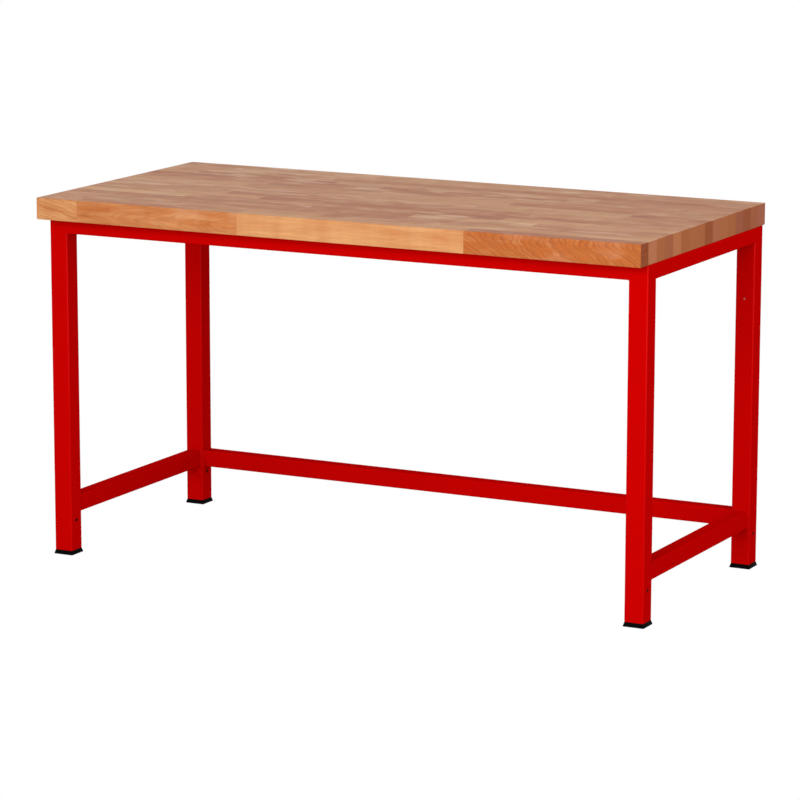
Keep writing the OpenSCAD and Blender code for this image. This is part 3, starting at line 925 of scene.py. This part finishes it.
def makeRecessCutter():
    # a cross with tapered arms, deepest in the middle
    value = screwValues
    half, reach, depth = value["recessWidth"] / 2, value["recessReach"], value["recessDepth"]
    outline = [(reach, -half), (reach, half), (half, half), (half, reach), (-half, reach), (-half, half),
               (-reach, half), (-reach, -half), (-half, -half), (-half, -reach), (half, -reach),
               (half, -half)]
    mouth = -value["headHeight"] - value["recessProud"]
    levels = zip((mouth, mouth + value["recessProud"] + depth), value["recessShares"])
    rings = [[(x * share, y * share, z) for x, y in outline] for z, share in levels]
    points, faces = loftRings(rings)
    return meshFrom("recessCutter", points, faces)


def makeScrewTree():
    # one screw for each point, each stopped at its own angle
    tree, given, made = newGroup(
        "screwsOnPoints",
        {"Points": ("NodeSocketGeometry", None), "Screw": ("NodeSocketObject", None),
         "Turn Seed": ("NodeSocketInt", 7), "Material": ("NodeSocketMaterial", None)},
        {"Screws": "NodeSocketGeometry"}, "GeometryNodeTree")
    source = addNode(tree, "GeometryNodeObjectInfo")
    plug(tree, source.inputs["Object"], given["Screw"])
    turn = addNode(tree, "FunctionNodeRandomValue", data_type="FLOAT")
    plugAll(tree, turn, {2: 0.0, 3: math.tau, "Seed": given["Turn Seed"]})
    screws = addNode(tree, "GeometryNodeInstanceOnPoints")
    plugAll(tree, screws, {"Points": given["Points"], "Instance": source.outputs["Geometry"],
                           "Rotation": joinVector(tree, 0.0, 0.0, turn.outputs[1])})
    endTree(tree, screws.outputs[0], given["Material"], made[0])
    return tree


def makeScrews():
    low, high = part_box("worktop_screws")
    seat = low.z + screwValues["headHeight"]
    sample = addObject("screwSample", makeScrewMesh(high.z - seat))
    cutAway(sample, makeRecessCutter())
    smoothRounds(sample, 40)
    points = [(x, y, seat) for x, y in screwPoints()]
    piece = addObject("woodScrews", meshFrom("woodScrews", points, []))
    bakeTree(piece, makeScrewTree(), **{"Screw": sample, "Turn Seed": screwValues["turnSeed"],
                                        "Material": materials["zinc_fasteners"]})
    bpy.data.objects.remove(sample)
    finishPiece(piece, "frame", "zinc_fasteners", "worktop_screws")
    return len(points)


print("wood screws driven:", makeScrews())


# Weld beads

weldValues = {
    "beadRadius": 0.0020,
    "ripplePitch": 0.0024,
    "rippleDepth": 0.16,
    "stepsPerRipple": 4,
    "ground": 0.004,          # the flush outer faces are ground smooth this far in
    "stitchLength": 0.018,
    "stitchInset": 0.012,
    "topGap": 0.004,          # the upright beads stop this far below the worktop
    "unevenScale": 160.0,
    "sides": 8,
}


def topRailSeams():
    # under each rail's end and up its inner side; the outer faces are flush with the legs
    value = weldValues
    seams = []
    for side in ("front", "rear", "left", "right"):
        low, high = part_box("top_rail_" + side)
        lengthwise = side in ("front", "rear")
        if lengthwise:
            depth, ends = (low.y, high.y), (legBoxes[side + "_left"][1].x, legBoxes[side + "_right"][0].x)
        else:
            depth, ends = (low.x, high.x), (legBoxes["front_" + side][1].y, legBoxes["rear_" + side][0].y)
        outer, inner = depth if side in ("front", "left") else reversed(depth)
        start = outer + math.copysign(value["ground"], inner - outer)
        route = ((start, low.z), (inner, low.z), (inner, high.z - value["topGap"]))
        for end in ends:
            seams.append([(end, place, z) if lengthwise else (place, end, z) for place, z in route])
    return seams


def lowerRailSeams():
    # all the way round each end
    loops = []
    for side in ("left", "right"):
        low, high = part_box("lower_rail_" + side)
        for y in (low.y, high.y):
            loops.append([(low.x, y, low.z), (high.x, y, low.z), (high.x, y, high.z), (low.x, y, high.z)])
    low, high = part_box("lower_rail_rear")
    for x in (low.x, high.x):
        loops.append([(x, low.y, low.z), (x, high.y, low.z), (x, high.y, high.z), (x, low.y, high.z)])
    return loops


def plateSeams():
    # short stitches below the plates' and tabs' edges, against the rails
    value = weldValues
    seams = []
    length, inset = value["stitchLength"], value["stitchInset"]
    for corner in corners:
        low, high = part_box("corner_plate_" + corner)
        front, left = corner.startswith("front"), corner.endswith("left")
        railX, farX = (low.x, high.x) if left else (high.x, low.x)
        railY, farY = (low.y, high.y) if front else (high.y, low.y)
        backX, backY = math.copysign(1, railX - farX), math.copysign(1, railY - farY)
        for near in (inset, 2 * inset + length):
            far = near + length
            seams.append([(farX + backX * near, railY, low.z), (farX + backX * far, railY, low.z)])
            seams.append([(railX, farY + backY * near, low.z), (railX, farY + backY * far, low.z)])
    for side in ("front", "rear"):
        low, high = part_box("middle_tab_" + side)
        y = low.y if side == "front" else high.y
        for x in (low.x + inset / 2, high.x - inset / 2 - length):
            seams.append([(x, y, low.z), (x + length, y, low.z)])
    return seams


def makeWeldTree():
    # a rippled bead that follows each seam
    tree, given, made = newGroup(
        "weldBead",
        {"Seams": ("NodeSocketGeometry", None), "Bead Radius": ("NodeSocketFloat", 0.002),
         "Ripple Pitch": ("NodeSocketFloat", 0.0024), "Ripple Depth": ("NodeSocketFloat", 0.15),
         "Step": ("NodeSocketFloat", 0.0006), "Material": ("NodeSocketMaterial", None)},
        {"Beads": "NodeSocketGeometry"}, "GeometryNodeTree")
    curve = addNode(tree, "GeometryNodeMeshToCurve")
    plug(tree, curve.inputs[0], given["Seams"])
    even = addNode(tree, "GeometryNodeResampleCurve", mode="LENGTH")
    plugAll(tree, even, {"Curve": curve.outputs[0], "Length": given["Step"]})
    along = addNode(tree, "GeometryNodeSplineParameter").outputs["Length"]
    turn = maths(tree, "MULTIPLY", maths(tree, "DIVIDE", along, given["Ripple Pitch"]), math.tau)
    ripple = maths(tree, "MULTIPLY", maths(tree, "SINE", turn), given["Ripple Depth"])
    place = addNode(tree, "GeometryNodeInputPosition").outputs[0]
    noise = maths(tree, "SUBTRACT", noiseField(tree, place, weldValues["unevenScale"]), 0.5)
    swell = maths(tree, "ADD", maths(tree, "MULTIPLY_ADD", noise, 0.5, 1.0), ripple)
    ring = addNode(tree, "GeometryNodeCurvePrimitiveCircle")
    plugAll(tree, ring, {"Resolution": weldValues["sides"], "Radius": given["Bead Radius"]})
    bead = addNode(tree, "GeometryNodeCurveToMesh")
    plugAll(tree, bead, {"Curve": even.outputs[0], "Profile Curve": ring.outputs[0], "Scale": swell,
                         "Fill Caps": True})
    soft = addNode(tree, "GeometryNodeSetShadeSmooth", domain="FACE")
    plug(tree, soft.inputs[0], bead.outputs[0])
    endTree(tree, soft.outputs[0], given["Material"], made[0])
    return tree


def makeWelds():
    value = weldValues
    points, edges = [], []
    openSeams, loops = topRailSeams() + plateSeams(), lowerRailSeams()
    for seam in openSeams + loops:
        first = len(points)
        points += seam
        edges += [(first + step, first + step + 1) for step in range(len(seam) - 1)]
        if seam in loops:
            edges.append((len(points) - 1, first))
    piece = addObject("weldBeads", meshFrom("weldBeads", points, [], edges))
    bakeTree(piece, makeWeldTree(), **{
        "Bead Radius": value["beadRadius"], "Ripple Pitch": value["ripplePitch"],
        "Ripple Depth": value["rippleDepth"], "Step": value["ripplePitch"] / value["stepsPerRipple"],
        "Material": materials["frame_red"]})
    finishPiece(piece, "frame", "frame_red")
    return len(piece.data.polygons)


print("weld beads laid, faces:", makeWelds())


# Finishes of the CAD nodes that stay

def dressNodes():
    special = {"threaded_insert": makeInsertFinish()}
    for part in frame["record"]["subparts"]:
        node = nodes[part["node"]]
        material = special.get(node.name, materials[part["material_slot"]])
        if not node.material_slots:
            node.data.materials.append(None)
        for slot in node.material_slots:
            slot.material = material


dressNodes()
print("CAD nodes dressed")


# Camera, light and floor

cameraValues = {
    "place": (3.82493, -7.42126, 2.03410),
    "turn": 27.253,       # degrees, to the left of the bench's own depth direction
    "tilt": 11.222,       # degrees below the horizon
    "roll": 0.091,
    "lens": 167.08,       # millimetres, on a sensor 36 wide
    "sensor": 36.0,
    "sight": 300.0,       # metres that it sees
}
studioValues = {
    # softboxes: degrees from the front towards the right end, degrees up, distance, side, where it is
    # aimed and what it lends to a white card held square to it there
    "softboxes": (
        (8.0, 16.0, 4.0, 1.8, (0.3, 0.0, 0.55), 0.52),
        (75.0, 26.0, 4.4, 2.2, (0.4, 0.0, 0.70), 0.40),
        (-25.0, 25.0, 8.0, 2.0, (0.0, 0.0, 0.45), 0.15),
        (235.0, 50.0, 3.0, 1.8, (-0.6, 0.2, 0.84), 0.16),
    ),
    "horizonLight": 1.35,
    "skyLight": 0.42,
    "skyEdge": (0.10, 0.28),   # sines of the heights between which the light fades from horizon to sky
    "floorHalf": 70.0,
    "floorColour": (0.30, 0.30, 0.30),
    "floorLight": 0.24,    # what the floor's own glow lends to the bench
    "underLight": 0.50,    # what a leg pushed out below the floor meets from there, much as from a floor
    "underEdge": (-0.05, -0.02),    # sines of the depths between which that light gives way to the horizon's
}


def placeCamera():
    value = cameraValues
    camera = addObject("camera", bpy.data.cameras.new("camera"))
    camera.data.lens = value["lens"]
    camera.data.sensor_width = value["sensor"]
    camera.data.clip_end = value["sight"]
    turn = Matrix.Rotation(math.radians(value["turn"]), 4, "Z")
    tilt = Matrix.Rotation(math.radians(90 - value["tilt"]), 4, "X")
    roll = Matrix.Rotation(math.radians(value["roll"]), 4, "Z")
    camera.matrix_world = Matrix.Translation(value["place"]) @ turn @ tilt @ roll
    bpy.context.scene.camera = camera


def lightStudio():
    value = studioValues
    bpy.context.scene.view_settings.view_transform = "Standard"
    for azimuth, elevation, distance, size, aim, strength in value["softboxes"]:
        box = addObject("softbox", bpy.data.lights.new("softbox", "AREA"))
        box.data.size = size
        # an evenly glowing square of power P lends P / (pi * distance) ** 2 to a card in front of it
        box.data.energy = strength * (math.pi * distance) ** 2
        side, up = math.radians(azimuth), math.radians(elevation)
        towards = Vector((math.sin(side) * math.cos(up), -math.cos(side) * math.cos(up), math.sin(up)))
        box.location = Vector(aim) + distance * towards
        box.rotation_euler = towards.to_track_quat("Z", "Y").to_euler()
        box.visible_camera = False
        box.visible_glossy = False      # no softbox is mirrored in any piece
    world = bpy.data.worlds.new("studio")
    bpy.context.scene.world = world
    world.use_nodes = True
    tree = world.node_tree
    direction = splitVector(tree, addNode(tree, "ShaderNodeTexCoord").outputs["Generated"])[2]
    light = remap(tree, direction, *value["skyEdge"], value["horizonLight"], value["skyLight"])
    under = remap(tree, direction, *value["underEdge"], value["underLight"], value["horizonLight"])
    light = maths(tree, "MINIMUM", light, under)
    seen = addNode(tree, "ShaderNodeLightPath").outputs["Is Camera Ray"]
    backdrop = maths(tree, "MAXIMUM", light, seen)      # the picture's own backdrop is white
    plugAll(tree, tree.nodes["Background"], {"Strength": backdrop, "Color": (1.0, 1.0, 1.0)})


def layFloor():
    value = studioValues
    half = value["floorHalf"]
    rim = [(-half, -half, 0), (half, -half, 0), (half, half, 0), (-half, half, 0)]
    floor = addObject("floor", meshFrom("floor", rim, [(0, 1, 2, 3)]))
    material, tree, shader = newMaterial(
        "studioFloor", Base_Color=value["floorColour"], Roughness=1.0, Specular_IOR_Level=0.0,
        Emission_Color=(1.0, 1.0, 1.0), Emission_Strength=value["floorLight"])
    # the floor's underside is clear, so that light reaches a leg that is pushed out below it
    mix = addNode(tree, "ShaderNodeMixShader")
    plugAll(tree, mix, {0: addNode(tree, "ShaderNodeNewGeometry").outputs["Backfacing"], 1: shader.outputs[0],
                        2: addNode(tree, "ShaderNodeBsdfTransparent").outputs[0]})
    plug(tree, tree.nodes["Material Output"].inputs["Surface"], mix.outputs[0])
    floor.data.materials.append(material)
    # the white backdrop shows instead, and so does a leg that is pushed out
    floor.visible_camera = False


placeCamera()
lightStudio()
layFloor()
print("studio lit")
